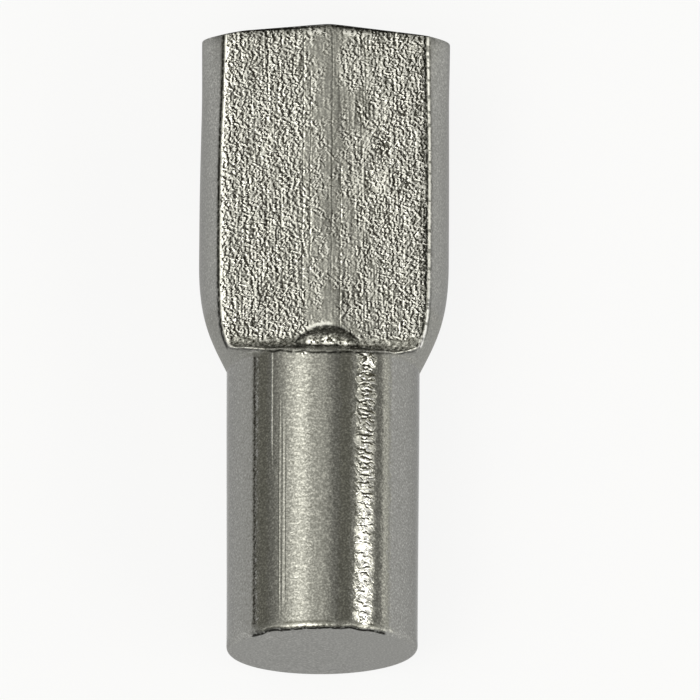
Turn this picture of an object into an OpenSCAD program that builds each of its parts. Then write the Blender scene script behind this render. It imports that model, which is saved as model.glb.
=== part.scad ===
// Shelf support pin: a length of round steel wire whose one end is flattened cold between two dies.
// The plug lies along -Y, the head along +Y and the flats face +Z and -Z. The origin is on the
// plug's axis, in the plane where the head's shoulders leave the plug and meet the cabinet's side.

/* [Plug] */
// Diameter of the round plug
plug_d = 5; // [4.4:0.1:6]
// Length of the plug, from the shoulders to its tip
plug_len = 7.65; // [5:0.05:16]
// Radius round the edge of the plug's tip
tip_round = 0.24; // [0.1:0.02:0.8]

/* [Head] */
// Length of the head, from the shoulders to the crown of its end
head_len = 8.95; // [6:0.05:20]
// Thickness of the head between its flats
head_t = 3; // [2:0.1:3.6]
// How far the flattening pushes each flank out past the plug
side_spread = 0.74; // [0.3:0.02:1.4]
// How far each flank swells out past the edge of the flats
flank_bulge = 0.52; // [0.3:0.02:0.9]
// Length over which the shoulders widen from the plug to the flanks
shoulder_len = 2.7; // [1.6:0.05:5]

/* [End of the head] */
// How far the end falls back from its middle to the flanks
end_bow = 0.4; // [0.1:0.02:1]
// How far the end swells out between the flats
end_barrel = 0.2; // [0.06:0.02:0.5]

/* [Step at the foot of the flats] */
// Distance from the shoulders to the foot of the step
step_foot = 0.16; // [0.1:0.02:1]
// Lean of the step towards the plug, in degrees
step_draft = 22; // [5:1:35]
// Radius between the step and the flat
step_round = 0.3; // [0.1:0.02:0.6]

/* [Nub at the foot of the upper flat] */
// Radius of the nub where it leaves the flat
nub_r = 0.98; // [0.6:0.02:1.4]
// Distance from the shoulders to the nub's furthest edge
nub_reach = 0.66; // [0.4:0.02:1.2]
// Height of the nub above the flat
nub_rise = 0.28; // [0.1:0.02:0.5]
// Lean of the nub's side, in degrees from upright
nub_lean = 45; // [20:1:60]

/* [Hidden] */
$fn = 96;
beyond = 1; // how far cutters run past what they cut
lap = 0.02; // how far the shoulders' arcs cross the plug and the flanks, so that none is tangent

plug_r = plug_d / 2;
half_w = plug_r + side_spread;
half_t = head_t / 2;
flank_r = arc_radius(half_t, flank_bulge);
bow_r = arc_radius(half_w, end_bow);
barrel_r = arc_radius(half_t, end_barrel);
shoulder_r = arc_radius(shoulder_len - lap, side_spread + lap);

// Radius of the arc that rises by rise over half of its chord
function arc_radius(half_chord, rise) = (half_chord * half_chord + rise * rise) / (2 * rise);

// The wire: the plug with its rounded tip, and the core of the head
module wire() {
    rotate([-90, 0, 0])
        rotate_extrude() {
            translate([0, tip_round - plug_len])
                square([plug_r, plug_len + head_len + beyond - tip_round]);
            translate([0, -plug_len])
                square([plug_r - tip_round, plug_len]);
            translate([plug_r - tip_round, tip_round - plug_len])
                circle(r = tip_round);
        }
}

// Section across the head as it spreads: a round flank on each side of the core
module spread_section() {
    for (side = [-1, 1])
        translate([side * (half_w - flank_r), 0])
            circle(r = flank_r);
    square([2 * (half_w - flank_r), head_t], center = true);
}

// The shoulders: two large spheres that overlap on the axis, then a block wider than the flanks
module shoulders() {
    intersection_for (side = [-1, 1])
        translate([side * (half_w + lap - shoulder_r), shoulder_len, 0])
            rotate([0, 0, 90 + 90 * side])
                sphere(r = shoulder_r);
    translate([-half_w - beyond, shoulder_len, -plug_r - beyond])
        cube([2 * (half_w + beyond), head_len + beyond - shoulder_len, plug_d + 2 * beyond]);
}

// The metal that the dies push out sideways
module spread() {
    intersection() {
        rotate([-90, 0, 0])
            linear_extrude(head_len + beyond)
                spread_section();
        shoulders();
    }
}

// One die: a flat face with a leaning wall at the plug's end and a round between the two
module die() {
    run = step_round * tan(45 - step_draft / 2);
    top = plug_r + beyond;
    rotate([90, 0, 90])
        translate([0, 0, -half_w - beyond])
            linear_extrude(2 * (half_w + beyond)) {
                polygon([
                    [step_foot + run, half_t],
                    [head_len + 2 * beyond, half_t],
                    [head_len + 2 * beyond, top],
                    [step_foot - (top - half_t) * tan(step_draft), top],
                    [step_foot - run * sin(step_draft), half_t + run * cos(step_draft)]
                ]);
                translate([step_foot + run, half_t + step_round])
                    circle(r = step_round);
            }
}

// What is cropped off past the crowned end
module end_waste() {
    depth = end_bow + end_barrel + beyond / 2;
    difference() {
        translate([-half_w - beyond, head_len - depth, -half_t - beyond])
            cube([2 * (half_w + beyond), depth + 2 * beyond, head_t + 2 * beyond]);
        translate([0, head_len - bow_r, 0])
            rotate_extrude()
                intersection() {
                    translate([bow_r - barrel_r, 0])
                        circle(r = barrel_r);
                    translate([bow_r - 2 * depth, -half_t - 2 * beyond])
                        square([3 * depth, head_t + 4 * beyond]);
                }
    }
}

// The low nub that the upper die leaves against the step
module nub() {
    root = half_t / 2;
    translate([0, nub_reach - nub_r, half_t])
        cylinder(h = nub_rise, r1 = nub_r, r2 = nub_r - nub_rise * tan(nub_lean));
    translate([0, nub_reach - nub_r, half_t - root])
        cylinder(h = root, r = nub_r);
}

module shelf_pin() {
    color([0.66, 0.65, 0.61]) {
        difference() {
            union() {
                wire();
                spread();
            }
            die();
            mirror([0, 0, 1])
                die();
            end_waste();
        }
        nub();
    }
}

shelf_pin();
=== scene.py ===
import math

import bmesh
import bpy
from mathutils import Matrix, Vector, noise


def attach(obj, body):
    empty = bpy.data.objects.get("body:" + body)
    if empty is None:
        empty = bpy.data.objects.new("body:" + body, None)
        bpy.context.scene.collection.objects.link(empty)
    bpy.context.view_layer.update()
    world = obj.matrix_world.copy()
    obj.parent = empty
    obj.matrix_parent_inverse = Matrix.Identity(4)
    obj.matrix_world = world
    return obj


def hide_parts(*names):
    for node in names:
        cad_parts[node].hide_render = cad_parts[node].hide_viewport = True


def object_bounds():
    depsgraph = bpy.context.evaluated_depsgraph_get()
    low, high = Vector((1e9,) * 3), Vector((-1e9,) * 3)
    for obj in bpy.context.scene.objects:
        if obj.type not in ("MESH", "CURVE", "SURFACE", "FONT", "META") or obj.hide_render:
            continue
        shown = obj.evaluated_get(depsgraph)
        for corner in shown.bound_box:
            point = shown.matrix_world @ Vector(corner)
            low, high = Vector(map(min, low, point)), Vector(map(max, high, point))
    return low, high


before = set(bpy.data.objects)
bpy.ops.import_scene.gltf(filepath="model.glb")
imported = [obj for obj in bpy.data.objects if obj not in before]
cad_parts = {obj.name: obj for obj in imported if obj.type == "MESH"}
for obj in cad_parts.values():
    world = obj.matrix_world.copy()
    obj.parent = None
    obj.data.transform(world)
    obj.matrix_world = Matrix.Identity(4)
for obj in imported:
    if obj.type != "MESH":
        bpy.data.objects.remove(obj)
cadLow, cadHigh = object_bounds()
mm = 0.001
tiny = 0.001     # too little to see, in millimetres
print("frame loaded")


def smoothStep(low, high, value):
    t = min(max((value - low) / (high - low), 0.0), 1.0)
    return t * t * (3 - 2 * t)


# rises between the first two places and falls between the last two
def window(start, full, falling, end, value):
    return smoothStep(start, full, value) * smoothStep(end, falling, value)


def pulse(value, centre, width):
    away = (value - centre) / width
    return math.exp(-away * away)


def mix(a, b, share):
    return a + (b - a) * share


def noiseAt(x, y, z):
    return noise.noise(Vector((x, y, z)))


def softMin(a, b, width):
    overlap = max(width - abs(a - b), 0.0)
    return min(a, b) - overlap * overlap / (4 * width)


def softMax(a, b, width):
    return -softMin(-a, -b, width)


def sag(offset, radius):
    return radius - math.sqrt(radius * radius - offset * offset)


def arcRadius(halfChord, rise):
    return (halfChord * halfChord + rise * rise) / (2 * rise)


# the pin's form, in millimetres
roomForFinish = 0.002     # kept free inside the solids' box
pin = {
    "plugRadius": cadHigh.z / mm,
    "tip": cadLow.y / mm,
    "headEnd": cadHigh.y / mm,
    "halfWidth": cadHigh.x / mm - roomForFinish,
    "halfThick": 1.5,                        # from the axis to each flat

    "tipRound": 0.14,
    "tipSkew": 0.012,                        # how far the end of the plug is out of square
    "tipWave": ((2.0, 0.07), (6.0, 0.03)),   # along its upper edge: noise scales and heights
    "tipWaveRow": (2.0, 6.0),                # where in the noise
    "tipWaveRise": (1.2, 1.9),               # heights between which the wave sets in
    "tipBend": 0.5,                          # length of plug that follows skew and wave
    "plugLean": 0.003,
    "plugTaper": 0.035,

    "shoulder": (0.05, 2.75),                # where the head starts to widen, and where it is widest
    "flare": ((0.65, 3.2), (0.35, 1.9)),     # shares and powers of the curve between

    "border": 2.70,                          # half width of the flats
    "borderFoot": 0.32,                      # how much narrower they are at the step
    "borderFade": 0.5,                       # over what length that is lost
    "borderHold": 0.1,                       # and from where
    "borderTop": 0.05,                       # how much narrower they are at the end of the head
    "borderTopFrom": 5.0,
    "borderOpens": 0.12,                     # half the length over which they open at the step
    "borderRound": 0.2,
    "crestRound": 0.10,
    "crestReach": 0.25,

    "stepFoot": 0.095,
    "stepDraft": math.radians(18),
    "stepSkew": (0.4, 0.09, 0.11),           # the step slants from here to the right: slope, and most
    "stepRound": 0.30,

    "endRound": 0.12,
    "endRoundFlank": 0.12,                   # share of it that is left at the flanks
    "endRoundFade": (0.3, 1.0),              # shares of the width between which it is lost
    "endSquare": 0.035,                      # how much fuller the flanks are at the end
    "endSquareFrom": 5.5,
    "endBow": 0.43,
    "endSlopes": (0.098, 0.130),             # fall of the crowned end, left and right of its peak
    "endCorners": (0.055, 0.0),              # what its corners fall more
    "endCornersFrom": (2.1, 2.9),
    "endPeak": 0.09,
    "endPeakRound": 0.15,
    "endBarrel": 0.13,
    "endNarrow": (0.050, 0.018),             # how much the flanks come in at the end, left and right
    "endNarrowFrom": 4.0,
    "warpFrom": 3.0,                         # the rings bend to the crowned end from here
    "warpPower": 1.5,
}
barrelRadius = arcRadius(pin["halfThick"], pin["endBarrel"])
rim = pin["headEnd"] - pin["endBow"]

# the wire before it is pressed: its step is cut into the finest rings
wire = {
    "stepFrom": -0.36,
    "stepTo": 0.44,
    "spacing": {"ends": 0.21, "plug": 0.135, "step": 0.0205, "head": 0.041},
    "leastCut": 0.3,
    "roundSegments": 8,
    "merge": 1e-4,
}

# columns round the section, one run for each flat and flank
runs = {"top": 160, "side": 36, "bottom": 64}
packed = {"flat": 0.5, "side": 0.72}     # how strongly columns gather at the borders
around = runs["top"] + runs["bottom"] + 2 * runs["side"]


def ringSpacing(edge):
    middle = (edge.verts[0].co + edge.verts[1].co) / 2
    along = edge.verts[0].co - edge.verts[1].co
    spacing = wire["spacing"]
    if abs(along.z) > abs(along.y):
        return spacing["ends"]
    if middle.y < wire["stepFrom"]:
        return spacing["plug"]
    return spacing["step"] if middle.y < wire["stepTo"] else spacing["head"]


# a lathe profile, rounded at both corners, cut into rings and spun round the axis
def turnWire():
    bm = bmesh.new()
    radius = pin["plugRadius"]
    line = [bm.verts.new((0, pin["tip"], 0))]
    for y in (pin["tip"], wire["stepFrom"], wire["stepTo"], rim):
        line.append(bm.verts.new((0, y, radius)))
    line.append(bm.verts.new((0, rim, 0)))
    for pair in zip(line, line[1:]):
        bm.edges.new(pair)
    for corner, size in ((line[1], pin["tipRound"]), (line[-2], pin["endRound"])):
        bmesh.ops.bevel(bm, geom=[corner], offset=size, offset_type="OFFSET", affect="VERTICES",
                        segments=wire["roundSegments"], profile=0.5, material=-1)
    for edge in [e for e in bm.edges if e.calc_length() > wire["leastCut"]]:
        cuts = round(edge.calc_length() / ringSpacing(edge)) - 1
        bmesh.ops.subdivide_edges(bm, edges=[edge], cuts=cuts)
    bmesh.ops.spin(bm, geom=bm.verts[:] + bm.edges[:], cent=(0, 0, 0), axis=(0, 1, 0),
                   angle=2 * math.pi, steps=around, use_merge=True)
    bmesh.ops.remove_doubles(bm, verts=bm.verts[:], dist=wire["merge"])
    return bm


def borderAt(y):
    foot = pin["border"] - pin["borderFoot"] * math.exp(-max(y, pin["borderHold"]) / pin["borderFade"])
    top = pin["borderTop"] * smoothStep(pin["borderTopFrom"], rim, y)
    chord = pin["plugRadius"] * math.sqrt(1 - (pin["halfThick"] / pin["plugRadius"]) ** 2)
    return mix(chord, foot - top, smoothStep(-pin["borderOpens"], pin["borderOpens"], y))


def widthAt(y):
    start, end = pin["shoulder"]
    left = min(max((end - y) / (end - start), 0.0), 1.0)
    lack = sum(share * left ** power for share, power in pin["flare"])
    return pin["halfWidth"] - lack * (pin["halfWidth"] - pin["plugRadius"])


# height of the die above the axis: the drafted wall of the step, its round and the flat
def dieAt(y):
    run = pin["stepRound"] * math.tan(math.pi / 4 - pin["stepDraft"] / 2)
    foot = pin["stepFoot"] + run
    if y >= foot:
        return pin["halfThick"]
    wallY = foot - pin["stepRound"] * math.cos(pin["stepDraft"])
    if y >= wallY:
        return pin["halfThick"] + sag(foot - y, pin["stepRound"])
    wallZ = pin["halfThick"] + pin["stepRound"] * (1 - math.sin(pin["stepDraft"]))
    return wallZ + (wallY - y) / math.tan(pin["stepDraft"])


# the half round nub that stands at the foot of the upper flat
nub = {
    "centre": (0.10, -0.32),
    "radius": 0.98,
    "slope": 0.55,
    "rise": 0.12,
    "round": 0.05,
    "footRound": 0.05 / 3,
    "leastRound": 1e-4,
    "moat": 0.018,                           # depth and width of the dip round it
    "moatWidth": 0.06,
    "fallFrom": 0.46,                        # its top falls towards the tip from here
    "fall": 0.33,
    "outline": 0.034,                        # line of painted shade round it
    "glow": (0.075, 0.035),                  # painted highlight line: how far outside, and its width
    "glowSpan": (-0.7, -0.45, 0.1, 0.3),
    "linesFrom": 0.2,                        # both lines start here
    "shade": 0.6,                            # painted shade on its top
    "shadeRise": (0.0, 0.05),
    "roughRise": (0.0, 0.06),
    "topFrom": 0.1,
    "grainLost": 0.75,
    "grainFade": (-0.02, 0.08),
    "away": -1.0,                            # stands for every place that is far from it
}

# how far the foot of the step wanders: noise scales and sizes, and the noise's row on each side
stepWander = {"waves": ((1.3, 0.035), (5.0, 0.012)), "upper": 3.0, "lower": 8.0}

# limits of the flanks' curve
flank = {
    "leastRise": 0.02,
    "mostRadius": 60,
    "beyondDies": 0.05,     # no die reaches the columns with a smaller cosine than this
    "clearance": 1.0,       # stands for their distance from a die
}


def sideOf(z):
    return "upper" if z > 0 else "lower"


def nubReach(x, y):
    return nub["radius"] - math.hypot(x - nub["centre"][0], y - nub["centre"][1])


def nubHeight(x, y):
    reach = nubReach(x, y)
    top = nub["rise"] - nub["fall"] * max(nub["fallFrom"] - y, 0.0)
    mound = softMax(softMin(reach * nub["slope"], top, nub["round"]), 0.0, nub["footRound"])
    return mound - nub["moat"] * pulse(reach, -nub["moatWidth"], nub["moatWidth"])


def pressedHeight(x, y, side):
    row = stepWander[sideOf(side)]
    wander = sum(size * noiseAt(x * scale, row, scale) for scale, size in stepWander["waves"])
    start, slope, most = pin["stepSkew"]
    height = dieAt(y + wander + min(slope * max(x - start, 0), most))
    if side > 0:
        raised = nubHeight(x, y)
        width = min(max(raised, nub["leastRound"]), nub["round"])
        height = softMax(height, pin["halfThick"] + raised, width)
    return height


# the columns of the spun wire move to where flats, borders and flanks need them
def columnAngle(turn, border):
    step = (turn * around + runs["top"] / 2) % around
    for quarter, name in enumerate(("top", "side", "bottom", "side")):
        if step <= runs[name]:
            break
        step -= runs[name]
    share = 2 * step / runs[name] - 1
    gather = packed["side" if name == "side" else "flat"]
    share = mix(share, math.sin(share * math.pi / 2), gather)
    if name == "side":
        return quarter * math.pi / 2 + share * (math.pi / 2 - border)
    return quarter * math.pi / 2 + math.atan(share * math.tan(border))


# radius of the pressed section, and how far above the wire the die passes there
def sectionRadius(angle, y):
    wide = widthAt(y)
    border = borderAt(y)
    curve = min(arcRadius(pin["halfThick"], max(wide - border, flank["leastRise"])), flank["mostRadius"])
    centre = wide - curve
    across = abs(math.sin(angle))
    up = abs(math.cos(angle))
    radius = centre * across + math.sqrt(max(curve ** 2 - (centre * up) ** 2, 0.0))
    if radius < pin["plugRadius"] + tiny or y < -pin["borderOpens"]:
        radius = pin["plugRadius"]
    if up < flank["beyondDies"]:
        return radius, flank["clearance"]
    borderUp = pin["halfThick"] / math.hypot(pin["halfThick"], border)
    if up < borderUp:
        square = pin["endSquare"] * smoothStep(pin["endSquareFrom"], rim, y)
        radius *= 1 + square * math.sin(math.pi * up / borderUp) ** 2
    x = pin["halfThick"] * math.sin(angle) / up
    pressed = pressedHeight(x, y, math.cos(angle)) / up
    width = mix(pin["borderRound"], pin["crestRound"], smoothStep(pin["crestReach"], 0.0, y))
    return softMin(radius, pressed, width), pressed - radius


# where a point of the wire lies when pressed, how far in from the side, and how far under the die
def sectionPoint(turn, y, inset):
    angle = columnAngle(turn, math.atan2(borderAt(y), pin["halfThick"]))
    radius, under = sectionRadius(angle, y)
    if y > 0:
        reach = abs(math.sin(angle)) * radius / pin["halfWidth"]
        soft = mix(1.0, pin["endRoundFlank"], smoothStep(*pin["endRoundFade"], reach))
        corner = pin["endRound"]
        if inset < corner:
            inset *= soft
        else:
            face = (radius - corner * soft) / (pin["plugRadius"] - corner)
            inset = corner * soft + (inset - corner) * face
        if inset < corner and y > rim - corner:
            y = rim - (rim - y) * soft
        radius -= inset
    else:
        radius *= 1 - inset / pin["plugRadius"]
        radius *= 1 - pin["plugTaper"] * smoothStep(0, pin["tip"], y) / pin["plugRadius"]
    return radius * math.sin(angle), y, radius * math.cos(angle), inset, under


# grain left by the dies on a flat
grain = {
    "lane": (-0.62, 0.66),           # smoother lane along the middle
    "laneFade": 0.35,
    "laneWander": (0.8, 0.3),        # noise scale and size
    "laneLoss": (0.85, 0.5),         # what the lane takes from the cells and from the streaks
    "slant": (-0.3, -1.2),           # cells are upright right of this and slanted left of it
    "slantTurn": 0.7,
    "cells": ((5.0, 3.2, 0.0018), (9.5, 6.0, 0.005)),    # noise scale across and along, and height
    "streak": (9.0, 0.7, 0.005),
    "from": (0.31, 0.41),            # where the grain begins, past the step
    "inside": (0.01, 0.09),          # inside the border
    "beforeEnd": (-0.02, 0.05),
    "below": (-0.12, -0.07),         # and under the height of the flat
    "rows": {"upper": 5.0, "lower": 31.0, "lane": 2, "cells": 9, "streak": 17},    # places in the noise
}

# long fold in the lane: where it rises and falls, across
fold = {
    "rise": (-0.75, 0.02),
    "fall": (0.0, 0.52),
    "height": 0.025,
    # along the head: where it lies off its line, and its share of the height
    "path": ((0.6, 0.13, 1.1), (2.6, 0.04, 0.9), (3.4, -0.17, 0.75), (5.0, -0.13, 0.75),
             (5.95, 0.0, 1.05), (6.6, -0.09, 0.85), (8.3, -0.24, 0.7)),
}


def laneMask(x, y, row):
    scale, size = grain["laneWander"]
    wander = size * noiseAt(0.0, y * scale, row + grain["rows"]["lane"])
    left, right = grain["lane"]
    fade = grain["laneFade"]
    return window(left - fade, left + fade, right - fade, right + fade, x + wander)


def foldAt(y):
    path = fold["path"]
    if y <= path[0][0]:
        return path[0][1:]
    for (startY, startX, startDepth), (endY, endX, endDepth) in zip(path, path[1:]):
        if y <= endY:
            share = smoothStep(startY, endY, y)
            return mix(startX, endX, share), mix(startDepth, endDepth, share)
    return path[-1][1:]


def grainHeight(x, y, side):
    row = grain["rows"][sideOf(side)]
    lane = laneMask(x, y, row)
    slant = smoothStep(*grain["slant"], x)
    turnedX = (x + y) * grain["slantTurn"]
    turnedY = (x - y) * grain["slantTurn"]
    cell = 0.0
    for number, (across, along, height) in enumerate(grain["cells"]):
        cellRow = row + grain["rows"]["cells"] * number
        upright = noiseAt(x * across, y * along, cellRow)
        slanted = noiseAt(turnedX * across, turnedY * along, cellRow)
        cell += height * mix(upright, slanted, slant)
    across, along, height = grain["streak"]
    streak = height * noiseAt(x * across, y * along, row + grain["rows"]["streak"])
    off, depth = foldAt(y)
    start, end = fold["fall"]
    fallen = min(max((x - off - start) / (end - start), 0.0), 1.0)
    ridge = depth * fold["height"] * smoothStep(*fold["rise"], x - off) * (1 - fallen * fallen)
    cellLoss, streakLoss = grain["laneLoss"]
    return cell * (1 - cellLoss * lane) + streak * (1 - streakLoss * lane) + ridge


# lines along the borders of the flats: side, how far outside the border, width and strength
shadeMarks = ((-1, 0.036, 0.034, 1.1), (1, -0.046, 0.040, 1.0), (1, 0.078, 0.022, 0.6))    # painted shade
highlightMarks = ((-1, -0.048, 0.022, 1.0), (1, 0.026, 0.021, 1.0))                              # painted highlight
borderLines = {
    "wander": (9.0, 0.02),       # noise scale and size
    "row": 2.0,
    "from": (0.06, 0.16),
    "height": (1.1, 1.3),        # they fade out below the flats
}

# painted shade along the crowned end
endLine = {
    "within": 0.132,             # how far in from the flanks it runs
    "width": 0.13,
    "strength": (0.385, 1.1),    # low down, and along the upper flat
    "height": (1.1, 1.35),
}

# the step: rough and dull, with a painted highlight on its crest and painted shade under it. Its depths are
# under the die
foot = {
    "wander": (4.0, 0.12),       # ragged edge of the grain above it: noise scale and size
    "row": (4.0, 1.0),
    "span": (-0.45, 0.4),
    "rough": 0.5,                # its rough skin reaches this far both ways
    "roughDepth": (0.12, 0.0),
    "height": 1.0,               # nothing of it lies lower than this
    "outer": (1.2, 1.5),         # where its outer parts begin, across
    "crest": (0.00, 0.07),       # depth and width of the painted highlight
    "crestStrength": 0.55,
    "uneven": (5.0, 0.12),       # noise scale and size
    "unevenRow": 9.0,
    "paintedDark": (0.25, 0.10),        # depth and width of the painted shade under the crest
    "paintedDarkStrength": (1.05, 0.70),    # in the middle and in the outer parts
    "fringe": (-0.12, 0.08),     # more painted shade on the outer parts: depth and width
    "fringeStrength": 0.5,
}

# the tip's round, with painted shade and painted highlights along its upper edge. Depths are shares: 0 at the
# plug's side, 1 at its face
tipEdge = {
    "wander": (7.0, 0.016),
    "row": 7.0,
    "faceMargin": 0.002,
    "span": (-1.84, -1.74, 1.56, 1.66),
    "dark": 1.2,                 # line of painted shade along the face
    "darkDepth": (0.28, 0.44),
    "ends": 0.65,                # it comes higher at both ends
    "endsDepth": (0.03, 0.10),
    "endsFrom": ((-0.90, -1.05), (1.35, 1.5)),
    "dim": (0.25, 0.50),         # painted shade dims all the round, and more in one stretch
    "dimDepth": (0.0, 0.02),
    "dimmerStretch": (0.30, 0.40, 0.82, 0.90),
    "glint": 0.35,               # painted highlight in stretches beside it
    "glintDepth": (0.005, 0.02, 0.30, 0.42),
    "glintSpans": ((-0.95, -0.85, 0.2, 0.35), (0.8, 0.9, 1.3, 1.45)),
}

# spots of painted glints: centre, half length and half width
glintSpots = (
    (-0.27, 0.22, 0.17, 0.09),
    (0.13, 0.25, 0.20, 0.11),
    (0.52, 0.20, 0.16, 0.09),
    (1.18, -0.52, 0.17, 0.20),
    (-0.50, -0.31, 0.08, 0.05),
    (-0.30, 8.33, 0.20, 0.07),
    (0.80, 8.33, 0.36, 0.07),
)
glintFade = (1.15, 0.75)


def glintAt(x, y):
    strongest = 0.0
    for spotX, spotY, halfX, halfY in glintSpots:
        away = math.hypot((x - spotX) / halfX, (y - spotY) / halfY)
        strongest = max(strongest, smoothStep(*glintFade, away))
    return strongest


def linesAt(lines, x, y, z):
    scale, wander = borderLines["wander"]
    strongest = 0.0
    for side, out, width, strength in lines:
        if side * x > 0:
            centre = borderAt(y) + out + wander * noiseAt(borderLines["row"] * side, y * scale, 0)
            strongest = max(strongest, strength * pulse(abs(x), centre, width))
    return strongest * smoothStep(*borderLines["from"], y) * smoothStep(*borderLines["height"], abs(z))


# painted shade on the nub's top and round it, and a painted highlight line just outside it
def nubMarks(x, y, reach, glint):
    dark = 0.0
    bright = 0.0
    if y > nub["topFrom"]:
        dark = nub["shade"] * smoothStep(*nub["shadeRise"], reach) * (1 - glint)
    if y > nub["linesFrom"]:
        dark = max(dark, pulse(reach, 0.0, nub["outline"]))
        bright = pulse(-reach, *nub["glow"]) * window(*nub["glowSpan"], x)
    return dark, bright


# painted shade under the step's crest and on its outer parts, and a painted highlight on the crest
def footMarks(x, y, z, under):
    start, end = foot["span"]
    if not start < y < end or abs(z) < foot["height"]:
        return 0.0, 0.0
    outer = smoothStep(*foot["outer"], abs(x))
    scale, size = foot["uneven"]
    uneven = under + size * noiseAt(x * scale, foot["unevenRow"], y * scale)
    paintedDark = mix(*foot["paintedDarkStrength"], outer) * pulse(uneven, *foot["paintedDark"])
    fringe = foot["fringeStrength"] * outer * pulse(under, *foot["fringe"])
    return max(paintedDark, fringe), foot["crestStrength"] * pulse(under, *foot["crest"])


# painted shade and painted highlights on the tip's round
def tipMarks(x, inset):
    scale, size = tipEdge["wander"]
    depth = (inset + size * noiseAt(x * scale, tipEdge["row"], 0)) / pin["tipRound"]
    ends = sum(smoothStep(*place, x) for place in tipEdge["endsFrom"])
    line = tipEdge["dark"] * smoothStep(*tipEdge["darkDepth"], depth)
    line = max(line, tipEdge["ends"] * ends * smoothStep(*tipEdge["endsDepth"], depth))
    dim = mix(*tipEdge["dim"], window(*tipEdge["dimmerStretch"], x)) * smoothStep(*tipEdge["dimDepth"], depth)
    glintStretches = sum(window(*place, x) for place in tipEdge["glintSpans"])
    glint = tipEdge["glint"] * glintStretches * window(*tipEdge["glintDepth"], depth)
    return max(line, dim) * window(*tipEdge["span"], x), glint


# what the finish needs to know of a point, painted shade and painted highlights among it, each value from 0
# to about 1
layerNames = ("flats", "shadeMarks", "highlightMarks", "feet", "glints")


def paintAt(x, y, z, inset, under, ringY):
    reach = nubReach(x, y) if z > 0 else nub["away"]
    scale, size = foot["wander"]
    begun = smoothStep(*grain["from"], y + size * noiseAt(x * scale, *foot["row"]))
    flat = smoothStep(*grain["below"], abs(z) - pin["halfThick"]) * begun
    flat *= smoothStep(*grain["inside"], borderAt(y) - abs(x))
    flat *= smoothStep(*grain["beforeEnd"], rim - ringY)
    flat *= 1 - nub["grainLost"] * smoothStep(*nub["grainFade"], reach)

    glint = glintAt(x, y) if z > 0 else 0.0
    nubDark, nubBright = nubMarks(x, y, reach, glint)
    paintedDark, crest = footMarks(x, y, z, under)
    dark = max(linesAt(shadeMarks, x, y, z), nubDark, paintedDark)
    bright = max(linesAt(highlightMarks, x, y, z), nubBright, crest)
    # painted shade along the crowned end
    if y > 0 and inset < endLine["within"]:
        strength = mix(*endLine["strength"], smoothStep(*endLine["height"], z))
        dark = max(dark, strength * pulse(rim - ringY, 0.0, endLine["width"]))
    if y < 0 < z and tiny < inset < pin["tipRound"] - tipEdge["faceMargin"]:
        tipDark, glint = tipMarks(x, inset)
        dark = max(dark, tipDark)

    rough = 0.0
    if abs(z) > foot["height"]:
        if abs(y) < foot["rough"]:
            rough = smoothStep(*foot["roughDepth"], under) * (1 - begun)
        if y > nub["topFrom"]:
            rough = max(rough, smoothStep(*nub["roughRise"], reach))
    return dict(zip(layerNames, (flat, dark, bright, rough, glint)))


def endDrop(x):
    away = x - pin["endPeak"]
    side = 0 if away < 0 else 1
    corner = pin["endCorners"][side] * smoothStep(*pin["endCornersFrom"], abs(away))
    return pin["endSlopes"][side] * (math.hypot(away, pin["endPeakRound"]) - pin["endPeakRound"]) + corner


# narrows the head's end, leans the plug, waves its tip and crowns the head's end
def bendPoint(x, y, z):
    if y > 0:
        narrow = pin["endNarrow"][0 if x < 0 else 1] / pin["halfWidth"]
        x *= 1 - narrow * smoothStep(pin["endNarrowFrom"], rim, y)
    else:
        x -= pin["plugLean"] * y
        near = smoothStep(pin["tip"] + pin["tipBend"], pin["tip"], y)
        wave = sum(size * max(noiseAt(x * scale, *pin["tipWaveRow"]), 0) for scale, size in pin["tipWave"])
        wave *= smoothStep(*pin["tipWaveRise"], z)
        y += near * (pin["tipSkew"] * (x + pin["plugRadius"]) + wave)
    if y > pin["warpFrom"]:
        bent = pin["endBow"] - endDrop(x) - sag(z, barrelRadius)
        y += bent * ((y - pin["warpFrom"]) / (rim - pin["warpFrom"])) ** pin["warpPower"]
    return x, y


def press(bm):
    layers = {name: bm.verts.layers.float.new(name) for name in layerNames}
    for vert in bm.verts:
        ringY = vert.co.y
        inset = pin["plugRadius"] - math.hypot(vert.co.x, vert.co.z)
        if inset > pin["plugRadius"] - tiny:
            vert.co.y = pin["headEnd"] if ringY > 0 else ringY + pin["tipSkew"] * pin["plugRadius"]
            continue
        turn = math.atan2(vert.co.x, vert.co.z) / (2 * math.pi)
        x, y, z, inset, under = sectionPoint(turn, ringY, inset)
        painted = paintAt(x, y, z, inset, under, ringY)
        for name, layer in layers.items():
            vert[layer] = painted[name]
        x, y = bendPoint(x, y, z)
        if painted["flats"] > 0:
            z += math.copysign(painted["flats"] * grainHeight(x, y, z), z)
        vert.co = (x, y, z)


def newObject(name, bm):
    data = bpy.data.meshes.new(name)
    bm.to_mesh(data)
    bm.free()
    item = bpy.data.objects.new(name, data)
    bpy.context.scene.collection.objects.link(item)
    return item


pinMesh = turnWire()
print("wire turned", len(pinMesh.verts))
press(pinMesh)
bmesh.ops.recalc_face_normals(pinMesh, faces=pinMesh.faces[:])
bmesh.ops.scale(pinMesh, vec=(mm, mm, mm), verts=pinMesh.verts[:])
for face in pinMesh.faces:
    face.smooth = True
shelfPin = newObject("shelfPin", pinMesh)
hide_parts("shelf_pin")
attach(shelfPin, "root")
print("pin pressed", len(shelfPin.data.vertices), len(shelfPin.data.polygons))


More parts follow.
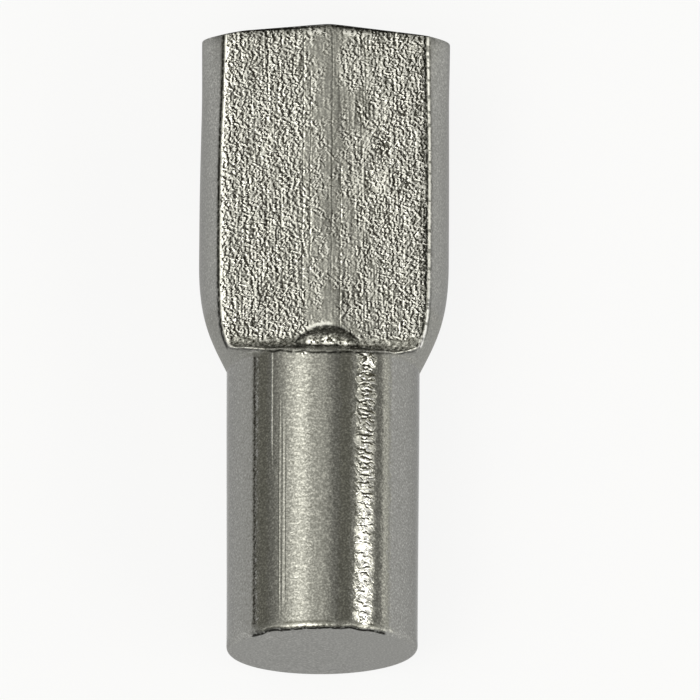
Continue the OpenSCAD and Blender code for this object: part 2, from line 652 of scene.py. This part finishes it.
# the nodes of one material, put down by kind, values for sockets, and settings
class Nodes:
    def __init__(self, name):
        self.material = bpy.data.materials.new(name)
        self.material.use_nodes = True
        self.tree = self.material.node_tree
        self.tree.nodes.clear()
        self.output = self.put("ShaderNodeOutputMaterial")

    def put(self, kind, sockets=None, **settings):
        node = self.tree.nodes.new(kind)
        for name, value in settings.items():
            setattr(node, name, value)
        for name, value in (sockets or {}).items():
            if isinstance(value, bpy.types.NodeSocket):
                self.tree.links.new(value, node.inputs[name])
            else:
                node.inputs[name].default_value = value
        return node

    def cover(self, shader, data):
        self.tree.links.new(shader.outputs[0], self.output.inputs["Surface"])
        data.materials.append(self.material)

    def maths(self, operation, *values):
        return self.put("ShaderNodeMath", dict(enumerate(values)), operation=operation).outputs[0]

    def plus(self, a, b):
        return self.maths("ADD", a, b)

    def minus(self, a, b):
        return self.maths("SUBTRACT", a, b)

    def times(self, a, b):
        return self.maths("MULTIPLY", a, b)

    def most(self, a, b):
        return self.maths("MAXIMUM", a, b)

    # value times slope, plus start
    def line(self, value, slope, start):
        return self.maths("MULTIPLY_ADD", value, slope, start)

    def blend(self, share, a, b):
        return self.put("ShaderNodeMix", {0: share, "A": a, "B": b}, data_type="FLOAT").outputs[0]

    def vector(self, operation, a, b):
        return self.put("ShaderNodeVectorMath", {0: a, 1: b}, operation=operation).outputs[0]

    def between(self, value, low, high, start=0.0, end=1.0):
        sockets = {"Value": value, "From Min": low, "From Max": high, "To Min": start, "To Max": end}
        return self.put("ShaderNodeMapRange", sockets, interpolation_type="SMOOTHSTEP").outputs[0]

    def span(self, value, low, high, fade):
        rise = self.between(value, low - fade, low + fade)
        return self.times(rise, self.between(value, high + fade, high - fade))

    def pulse(self, value, centre, width):
        away = self.maths("DIVIDE", self.minus(value, centre), width)
        return self.maths("EXPONENT", self.times(self.times(away, away), -1.0))


# nodes that know their place on the pin, in millimetres, and what is painted there
class PinNodes(Nodes):
    def __init__(self, name):
        super().__init__(name)
        metres = self.put("ShaderNodeTexCoord").outputs["Object"]
        self.place = self.vector("MULTIPLY", metres, (1 / mm,) * 3)
        self.x, self.y, self.z = self.put("ShaderNodeSeparateXYZ", {0: self.place}).outputs
        self.angle = self.maths("ARCTAN2", self.x, self.z)
        self.painted = {}
        for layer in layerNames:
            self.painted[layer] = self.put("ShaderNodeAttribute", attribute_name=layer).outputs["Fac"]
        low, high, fade = finish["plug"]
        self.plug = self.span(self.y, pin["tip"] + low, high, fade)

    def noise(self, stretch, turn=0.0, detail=1.0, rough=0.5, bend=0.0, at=None):
        sockets = {"Vector": at or self.place, "Angle": math.radians(turn)}
        turned = self.put("ShaderNodeVectorRotate", sockets, rotation_type="Z_AXIS").outputs[0]
        vector = self.vector("MULTIPLY", turned, stretch)
        sockets = {"Vector": vector, "Scale": 1.0, "Detail": detail, "Roughness": rough, "Distortion": bend}
        return self.put("ShaderNodeTexNoise", sockets).outputs[0]

    # a line's place, made to waver
    def waver(self, value, size, stretch, **texture):
        return self.plus(value, self.line(self.noise(stretch, **texture), size, -size / 2))


noiseMiddle = 0.5


def radians(*degrees):
    return tuple(math.radians(angle) for angle in degrees)


# Finish of the flats, in millimetres. A noise is given by its scales along x, y and z, heights and
# depths are those of the bump, and what is added to the tone moves it along the tone ramp
dies = {
    "drift": {"stretch": (0.5, 0.8, 0.0), "detail": 0.0, "size": 0.8},
    "slant": (-1.4, -0.2),           # marks slant left of this and stand right of it
    "turns": (-27, -6),              # by how many degrees
    "mark": {"stretch": (13.2, 12.0, 2.0), "bend": 0.5},
    "markWall": (0.475, 0.535),      # noise levels between which a mark's wall rises
    "markShift": (0.044, 0.014, 0),  # the painted highlight side of a mark lies this far from its painted shadow side
    "markHeight": 0.0035,
    "markTone": 3.7,
    # shares of the marks: by noise levels, and across on the left and on the right
    "patch": {"stretch": (1.3, 0.8, 1.0), "detail": 2.0},
    "patchShare": (0.38, 0.60, 0.5, 1.2),
    "cluster": {"stretch": (3.4, 2.4, 2.0)},
    "clusterShare": (0.40, 0.60, 0.3, 1.5),
    "leftShare": (-0.6, -1.9, 0.85, 1.2),
    "rightShare": (0.9, 2.2, 0.45, 1.5),
    "laneShare": 0.15,               # what is left of the marks in the lane, and of the threads
    "laneThreads": 0.25,
    "thread": {"stretch": (15.0, 1.0, 2.0), "turn": -1, "detail": 0.5},
    "threadHeight": 0.018,
    "threadTone": 1.7,
    "blob": {"stretch": (11.0, 7.5, 2.0), "turn": -12, "detail": 0.5},
    "blobWall": (0.585, 0.615),
    "blobSide": (0.54, 0.58),
    "blobShare": (0.2, 1.2),         # shares of the marks between which blobs come in
    "blobHeight": 0.006,
    "blobTones": (0.6, -0.45),       # of the blob's painted highlight and of its painted shadow side
    "tone": 0.03,                    # added everywhere
    "grooveWaver": {"size": 0.06, "stretch": (0.0, 1.5, 0.0)},
    "grooveWidth": 0.022,
    "grooveFade": 0.3,
    # place across, start, end and depth
    "grooves": (
        (-1.47, 0.4, 8.4, 0.010),
        (-1.10, 3.0, 5.9, 0.012),
        (-0.55, 0.8, 8.4, 0.008),
        (-0.36, 2.0, 7.5, 0.006),
        (0.20, 1.5, 8.4, 0.004),
        (0.43, 0.6, 5.0, 0.008),
        (1.53, 2.9, 5.6, 0.014),
        (2.05, 0.6, 4.2, 0.009),
    ),
}

# Finish of the plug. Places round it are angles from its top
drawing = {
    "ripple": {"stretch": (6.0, 9.0, 6.0), "detail": 2.0},
    "rippleHeight": 0.008,
    # the torn band, where the drawing die left scales
    "torn": radians(22.8, 30.8, 4.2),    # start, end and fade
    "fray": {"size": math.radians(5), "stretch": (0.0, 3.5, 0.0), "detail": 2.0},
    "lower": (-0.8, -7.0),               # towards the tip the band moves, and a painted highlight brightens it
    "lowerMove": math.radians(0.8),
    "tornTones": (0.92, -0.27),          # painted highlight added towards the tip, and the tone it starts from
    "worn": radians(-22, -4, 4),         # a lightly scaled band
    "wornShare": 0.08,
    "waves": {"Scale": 2.4, "Distortion": 7.0, "Detail": 1.0, "Detail Scale": 1.5},
    "waveShare": 0.12,
    "scale": {"stretch": (5.0, 8.5, 5.0), "turn": 14, "bend": 0.6},
    "scaleWall": (0.45, 0.63),
    "scaleShift": (0.014, 0.042, 0.014),
    "scaleDepth": 0.026,
    "scaleTone": 1.25,
    "swell": {"stretch": (3.0, 4.5, 3.0)},
    "swellHeight": 0.035,
    "lineWidth": 0.016,
    "lineFade": 0.6,
    # drawn lines: angle in degrees, start, end and height
    "lines": (
        (-31.6, -3.0, 0.2, 0.0065),
        (-26.3, -6.9, -1.8, 0.0055),
        (-24.1, -6.9, -2.2, 0.0045),
        (-22.6, -6.9, -2.2, -0.0040),
    ),
    # lines of painted shade and painted highlight: angle in degrees, width and change of tone
    "shadeAndHighlightLines": (
        (-44.9, 0.060, -0.36),
        (39.7, 0.050, 0.05),
        (43.9, 0.045, -0.07),
    ),
    "paintedLineWaver": {"size": 0.05, "stretch": (0.0, 7.0, 0.0), "detail": 2.0, "rough": 0.7},
    # dark lines across, above the tip: start, end, distance from the tip and change of tone
    "tipLines": (
        (-0.98, 0.30, 0.205, -0.28),
        (0.86, 1.40, 0.20, -0.30),
    ),
    "tipLineWaver": {"size": 0.05, "stretch": (5.0, 0.0, 0.0)},
    "tipLineWidth": 0.035,
    "tipLineFade": 0.08,
    "tipLineFrom": 1.0,                  # height above the axis
    # stretches round the plug dimmed with painted shade
    "leftDim": (radians(-75, -46), radians(-42, -46)),
    "leftDimTone": -0.09,
    "rightDim": radians(44, 50),
    "rightDimTone": -0.035,
}

# finish of the whole pin
finish = {
    "plug": (0.22, -0.20, 0.10),     # the plug's own finish: start past the tip, end and fade
    "peel": {"stretch": (3.0, 3.0, 3.0), "detail": 3.0},
    "peelHeight": 0.003,
    "speckScale": 1.3,
    "speckRadius": 0.035,
    "speckWall": 0.3,                # share of the radius where its wall ends
    "speckDepth": 0.012,
    "pitShare": 0.5,                 # of the specks, the others are pimples
    "pimpleTone": 0.3,
    "skin": {"stretch": (13.0, 13.0, 13.0), "detail": 2.0, "rough": 0.7},    # rough skin of the step
    "skinHeight": 0.012,
    "skinTones": (2.7, -0.05),
    "satin": {"stretch": (20.0, 20.0, 20.0)},    # fine grain of the tone
    "satinTones": (0.18, 0.50),      # what the lit part of the plug adds, and what is everywhere
    "satinLit": radians(-46, 42, 3),
    "clots": {"stretch": (9.0, 9.0, 9.0)},       # breaks up the painted glints and the painted shade
    "glintWall": (0.45, 0.53),
    "glintTones": (1.15, -0.45),
    "shadeBreaks": (0.36, 0.50, 0.55, 1.1),
    "dash": {"stretch": (2.0, 9.0, 2.0)},        # breaks up the painted highlight lines on the right
    "dashWall": (0.40, 0.50),
    "dashLost": (0.5, -0.5),
    "tone": 0.5,
    "shadeAndPitColour": (0.02, 0.02, 0.017, 1),
    "edgeTint": (0.62, 0.62, 0.62, 1),
    "plugRough": 0.13,
    "flatRough": 0.10,
    "flankRough": 0.30,
    "shoulderRough": 0.55,
    "shoulder": (-0.30, 1.2, 0.1),   # start, end and fade
    "shoulderOut": (1.45, 1.75),
    # colour by tone, from hollows and painted shade to ridges and painted highlights
    "toneRamp": (
        (0.0, (0.03, 0.028, 0.022, 1)),
        (0.25, (0.175, 0.173, 0.157, 1)),
        (0.5, (0.325, 0.324, 0.312, 1)),
        (0.72, (0.64, 0.635, 0.605, 1)),
        (0.83, (0.99, 0.985, 0.97, 1)),
    ),
}


# marks, threads, blobs and grooves of the flats: their height and their tone, which puts painted highlights
# on marks and blobs and painted shadows beside them
def dieMarks(n):
    wandering = n.waver(n.x, **dies["drift"])
    slant = n.between(wandering, *dies["slant"])
    shifted = n.vector("ADD", n.place, dies["markShift"])

    def marksAt(spot):
        slanted, upright = [n.noise(turn=turn, at=spot, **dies["mark"]) for turn in dies["turns"]]
        return n.between(n.blend(slant, slanted, upright), *dies["markWall"])

    marks = marksAt(n.place)
    # each mark painted lit on one side and shaded on the other
    sided = n.minus(marksAt(shifted), marks)
    patch = n.between(n.noise(**dies["patch"]), *dies["patchShare"])
    cluster = n.between(n.noise(**dies["cluster"]), *dies["clusterShare"])
    lane = n.span(wandering, *grain["lane"], grain["laneFade"])
    left = n.times(n.between(n.x, *dies["leftShare"]), n.maths("LESS_THAN", n.x, 0.0))
    outer = n.most(n.between(n.x, *dies["rightShare"]), left)
    share = n.times(n.times(patch, cluster), n.times(outer, n.blend(lane, 1.0, dies["laneShare"])))

    threads = n.minus(n.noise(**dies["thread"]), noiseMiddle)
    threads = n.times(threads, n.blend(lane, 1.0, dies["laneThreads"]))
    height = n.times(threads, dies["threadHeight"])
    height = n.line(n.times(n.minus(marks, noiseMiddle), share), dies["markHeight"], height)

    blob = n.between(n.noise(at=n.place, **dies["blob"]), *dies["blobWall"])
    beside = n.between(n.noise(at=shifted, **dies["blob"]), *dies["blobSide"])
    beside = n.times(beside, n.minus(1.0, blob))
    blobShare = n.between(share, *dies["blobShare"])
    height = n.line(n.times(blob, blobShare), dies["blobHeight"], height)

    wavering = n.waver(n.x, **dies["grooveWaver"])
    for centre, start, end, depth in dies["grooves"]:
        groove = n.pulse(wavering, centre, dies["grooveWidth"])
        groove = n.times(groove, n.span(n.y, start, end, dies["grooveFade"]))
        height = n.minus(height, n.times(groove, depth))

    tone = n.line(threads, dies["threadTone"], n.times(n.times(sided, share), dies["markTone"]))
    blobTone, besideTone = dies["blobTones"]
    spotted = n.line(blob, blobTone, n.times(beside, besideTone))
    return height, n.plus(n.line(spotted, blobShare, tone), dies["tone"])


# ripples, scales and drawn lines of the plug: their height and their tone, which paints the scales' edges lit
# and shaded and puts a painted highlight on the torn band
def drawnSkin(n):
    ripple = n.times(n.noise(**drawing["ripple"]), drawing["rippleHeight"])
    lower = n.between(n.y, *drawing["lower"])
    frayed = n.line(lower, drawing["lowerMove"], n.waver(n.angle, **drawing["fray"]))
    torn = n.span(frayed, *drawing["torn"])
    scaled = n.times(n.line(n.span(n.angle, *drawing["worn"]), drawing["wornShare"], torn), n.plug)

    def scalesAt(spot):
        sockets = {"Vector": spot, **drawing["waves"]}
        waves = n.put("ShaderNodeTexWave", sockets, bands_direction="Y").outputs["Fac"]
        cells = n.noise(at=spot, **drawing["scale"])
        return n.between(n.line(waves, drawing["waveShare"], cells), *drawing["scaleWall"])

    scales = scalesAt(n.place)
    shifted = n.vector("ADD", n.place, drawing["scaleShift"])
    # the scales' edges, painted lit on one side and shaded on the other
    lipped = n.times(n.minus(scalesAt(shifted), scales), scaled)
    height = n.line(n.times(scales, scaled), -drawing["scaleDepth"], ripple)
    swell = n.times(n.noise(**drawing["swell"]), torn)
    height = n.line(swell, drawing["swellHeight"], height)
    for degrees, start, end, rise in drawing["lines"]:
        drawn = n.pulse(n.angle, math.radians(degrees), drawing["lineWidth"] / pin["plugRadius"])
        drawn = n.times(drawn, n.span(n.y, start, end, drawing["lineFade"]))
        height = n.plus(height, n.times(drawn, rise))

    tone = n.times(n.times(torn, n.plug), n.line(lower, *drawing["tornTones"]))
    return height, n.line(lipped, drawing["scaleTone"], tone)


# dark lines, lines of painted shade and painted highlight, and stretches of painted shade on the plug
def plugLinesAndShade(n, tone):
    for start, end, above, change in drawing["tipLines"]:
        wavering = n.waver(n.y, **drawing["tipLineWaver"])
        stained = n.pulse(wavering, pin["tip"] + above, drawing["tipLineWidth"])
        stained = n.times(stained, n.span(n.x, start, end, drawing["tipLineFade"]))
        stained = n.times(stained, n.maths("GREATER_THAN", n.z, drawing["tipLineFrom"]))
        tone = n.line(stained, change, tone)
    for degrees, width, change in drawing["shadeAndHighlightLines"]:
        wavering = n.waver(n.angle, **drawing["paintedLineWaver"])
        stained = n.pulse(wavering, math.radians(degrees), width / pin["plugRadius"])
        tone = n.line(n.times(stained, n.plug), change, tone)
    rise, fall = drawing["leftDim"]
    dim = n.times(n.between(n.angle, *rise), n.between(n.angle, *fall))
    tone = n.line(n.times(dim, n.plug), drawing["leftDimTone"], tone)
    dim = n.times(n.between(n.angle, *drawing["rightDim"]), n.plug)
    return n.line(dim, drawing["rightDimTone"], tone)


def toneColours(n, tone):
    colours = n.put("ShaderNodeValToRGB", {0: tone})
    toneRamp = finish["toneRamp"]
    for level, colour in toneRamp[1:-1]:
        colours.color_ramp.elements.new(level)
    for stop, (level, colour) in zip(colours.color_ramp.elements, toneRamp):
        stop.color = colour
    return colours.outputs[0]


# small pits all over, and pimples on the plug
def specksAt(n):
    scale = finish["speckScale"]
    radius = finish["speckRadius"] * scale
    spots = n.put("ShaderNodeTexVoronoi", {"Vector": n.place, "Scale": scale, "Randomness": 1.0})
    speck = n.between(spots.outputs["Distance"], radius, finish["speckWall"] * radius)
    red = n.put("ShaderNodeSeparateXYZ", {0: spots.outputs["Color"]}).outputs[0]
    raised = n.maths("GREATER_THAN", red, finish["pitShare"])
    return n.times(speck, n.minus(1.0, raised)), n.times(n.times(speck, raised), n.plug)


def nickelPlate():
    n = PinNodes("nickelPlate")
    flats, shadeShare, highlightShare, feet, glints = [n.painted[layer] for layer in layerNames]
    pit, pimple = specksAt(n)
    skin = n.minus(n.noise(**finish["skin"]), noiseMiddle)
    marksHeight, marksTone = dieMarks(n)
    tone = n.line(marksTone, flats, finish["tone"])

    # painted highlight, broken into dashes on the right
    dash = n.between(n.noise(**finish["dash"]), *finish["dashWall"])
    dash = n.most(dash, n.between(n.x, *finish["dashLost"]))
    tone = n.plus(tone, n.times(highlightShare, dash))
    plugHeight, plugTone = drawnSkin(n)
    tone = n.plus(tone, plugTone)
    tone = n.plus(tone, n.times(n.line(skin, *finish["skinTones"]), feet))
    # painted glints, with painted shade between them
    clots = n.noise(**finish["clots"])
    clotted = n.line(n.between(clots, *finish["glintWall"]), *finish["glintTones"])
    tone = n.plus(tone, n.times(clotted, glints))
    tone = n.line(pimple, finish["pimpleTone"], tone)
    lit = n.times(n.span(n.angle, *finish["satinLit"]), n.plug)
    satin = n.minus(n.noise(**finish["satin"]), noiseMiddle)
    tone = n.plus(tone, n.times(n.line(lit, *finish["satinTones"]), satin))
    tone = plugLinesAndShade(n, tone)

    height = n.times(n.noise(**finish["peel"]), finish["peelHeight"])
    height = n.line(n.minus(pimple, pit), finish["speckDepth"], height)
    height = n.plus(height, n.times(n.times(skin, feet), finish["skinHeight"]))
    height = n.plus(height, n.times(marksHeight, flats))
    height = n.plus(height, n.times(plugHeight, n.plug))
    bump = n.put("ShaderNodeBump", {"Height": height, "Strength": 1.0, "Distance": mm})

    # painted shade and dark pits, mixed towards a near-black colour
    paintedDark = n.most(n.times(shadeShare, n.between(clots, *finish["shadeBreaks"])), pit)
    sockets = {0: paintedDark, 6: toneColours(n, tone), 7: finish["shadeAndPitColour"]}     # 6 and 7 are the two colours
    colour = n.put("ShaderNodeMix", sockets, data_type="RGBA")
    out = n.between(n.maths("ABSOLUTE", n.x), *finish["shoulderOut"])
    shoulder = n.times(n.span(n.y, *finish["shoulder"]), out)
    sides = n.blend(shoulder, finish["flankRough"], finish["shoulderRough"])
    shader = n.put("ShaderNodeBsdfPrincipled", {
        "Metallic": 1.0,
        "Base Color": colour.outputs[2],
        "Roughness": n.blend(flats, n.blend(n.plug, sides, finish["plugRough"]), finish["flatRough"]),
        "Specular Tint": finish["edgeTint"],
        "Normal": bump.outputs[0],
    })
    n.cover(shader, shelfPin.data)


nickelPlate()
print("nickel finished")


# the floor is matt paper, with a share of pure white where a mirror or the camera looks at it
paper = {
    "radius": 3.0,
    "segments": 96,
    "rim": ((0.3, 0.03), (0.2, 0.09)),     # out and up
    "colour": (0.6, 0.6, 0.6, 1),
    "mirrored": 0.72,
    "seen": 0.86,
}


def makeFloor():
    bm = bmesh.new()
    bmesh.ops.create_circle(bm, cap_ends=True, radius=paper["radius"], segments=paper["segments"])
    edges = [e for e in bm.edges if e.is_boundary]
    for out, rise in paper["rim"]:
        grown = bmesh.ops.extrude_edge_only(bm, edges=edges)["geom"]
        edges = [g for g in grown if isinstance(g, bmesh.types.BMEdge) and g.is_boundary]
        for vert in [g for g in grown if isinstance(g, bmesh.types.BMVert)]:
            vert.co += vert.co.normalized() * out + Vector((0, 0, rise))
    bmesh.ops.translate(bm, vec=(0, 0, cadLow.z), verts=bm.verts[:])
    floor = newObject("floor", bm)

    n = Nodes("paper")
    matt = n.put("ShaderNodeBsdfDiffuse", {"Color": paper["colour"]})
    white = n.put("ShaderNodeEmission", {"Strength": 1.0})
    rays = n.put("ShaderNodeLightPath").outputs
    mirrored = n.plus(rays["Is Glossy Ray"], rays["Is Transmission Ray"])
    share = n.line(rays["Is Camera Ray"], paper["seen"], n.times(mirrored, paper["mirrored"]))
    mixed = n.put("ShaderNodeMixShader", {0: share, 1: matt.outputs[0], 2: white.outputs[0]})
    n.cover(mixed, floor.data)


makeFloor()
print("floor laid")

# softboxes over the bench: brightness by angle across the pin, rising towards the tip
lights = {
    "overhead": {
        "tilt": 0,
        "profile": ((-70, 0.28), (-62, 0.34), (-52, 0.55), (-40, 1.1), (-31, 1.7), (-24, 1.97), (-18, 1.18),
                    (-12, 0.85), (-2, 0.91), (5, 0.70), (12, 0.38), (20, 0.28)),
    },
    "side": {
        "tilt": 56,
        "profile": ((34, 0.28), (41, 0.6), (46, 1.5), (51, 2.4), (56, 1.6), (62, 0.55), (68, 0.30),
                    (74.5, 0.28), (78.5, 0.95), (88, 0.95)),
    },
}
studio = {
    "distance": 1.5,
    "ends": (-1.6, 1.5),
    "gainFrom": 0.30,
    "gainTo": -0.6,
    "gain": 2.8,
    "colour": (1.0, 0.99, 0.885),
    "gap": (0.277, 0.273, 0.230, 1),      # what is dark between the lights
}


def softbox(name, tilt, profile):
    def across(angle):
        return studio["distance"] * math.tan(math.radians(angle - tilt))

    start, end = across(profile[0][0]), across(profile[-1][0])
    near, far = studio["ends"]
    bm = bmesh.new()
    bmesh.ops.create_grid(bm, x_segments=1, y_segments=1, size=0.5)
    bmesh.ops.scale(bm, vec=(end - start, far - near, 1), verts=bm.verts[:])
    bmesh.ops.translate(bm, vec=((end + start) / 2, (far + near) / 2, 0), verts=bm.verts[:])
    box = newObject(name, bm)
    lift = Matrix.Translation((0, 0, studio["distance"]))
    box.matrix_world = Matrix.Rotation(math.radians(tilt), 4, "Y") @ lift
    box.visible_camera = False

    n = Nodes(name)
    place = n.put("ShaderNodeTexCoord").outputs["Object"]
    axes = n.put("ShaderNodeSeparateXYZ", {0: place}).outputs
    spread = n.put("ShaderNodeMapRange", {"Value": axes["X"], "From Min": start, "From Max": end})
    ramp = n.put("ShaderNodeValToRGB", {0: spread.outputs[0]})
    peak = max(level for angle, level in profile)
    ramp.color_ramp.interpolation = "B_SPLINE"
    for angle, level in profile[1:-1]:
        ramp.color_ramp.elements.new((across(angle) - start) / (end - start))
    for stop, (angle, level) in zip(ramp.color_ramp.elements, profile):
        stop.color = tuple(part * level / peak for part in studio["colour"]) + (1,)
    gain = n.between(axes["Y"], studio["gainFrom"], studio["gainTo"], peak, peak * studio["gain"])
    glow = n.put("ShaderNodeEmission", {"Color": ramp.outputs[0], "Strength": gain})
    n.cover(glow, box.data)


for name, values in lights.items():
    softbox(name, **values)

world = bpy.data.worlds.new("studio")
bpy.context.scene.world = world
world.use_nodes = True
world.node_tree.nodes["Background"].inputs["Color"].default_value = studio["gap"]
world.node_tree.nodes["Background"].inputs["Strength"].default_value = 1.0
print("lights hung")

camera = {
    "elevation": math.radians(74.5),
    "roll": math.radians(0.38),
    "lens": 800,
    "pixelsPerMm": 38.64,
    "imageSize": 700,
    "originPixel": (323.2, 366.5),
    "nearest": 0.1,     # share of the distance
    "farthest": 20,
}
camData = bpy.data.cameras.new("camera")
cam = bpy.data.objects.new("camera", camData)
bpy.context.scene.collection.objects.link(cam)
bpy.context.scene.camera = cam
camData.lens = camera["lens"]
frameWidth = camera["imageSize"] / camera["pixelsPerMm"] * mm
distance = camera["lens"] * frameWidth / camData.sensor_width
back = Vector((0, -math.cos(camera["elevation"]), math.sin(camera["elevation"])))
upFlat = Vector((0, math.sin(camera["elevation"]), math.cos(camera["elevation"])))
acrossFlat = Vector((1, 0, 0))
right = acrossFlat * math.cos(camera["roll"]) + upFlat * math.sin(camera["roll"])
up = upFlat * math.cos(camera["roll"]) - acrossFlat * math.sin(camera["roll"])
pixel = mm / camera["pixelsPerMm"]
middle = camera["imageSize"] / 2
originX, originY = camera["originPixel"]
aim = right * (middle - originX) * pixel + up * (originY - middle) * pixel
cam.matrix_world = Matrix.Translation(aim + back * distance) @ Matrix((right, up, back)).transposed().to_4x4()
camData.clip_start = distance * camera["nearest"]
camData.clip_end = camera["farthest"]

scene = bpy.context.scene
scene.view_settings.view_transform = "Standard"
print("camera at", round(distance * 1000), "mm")
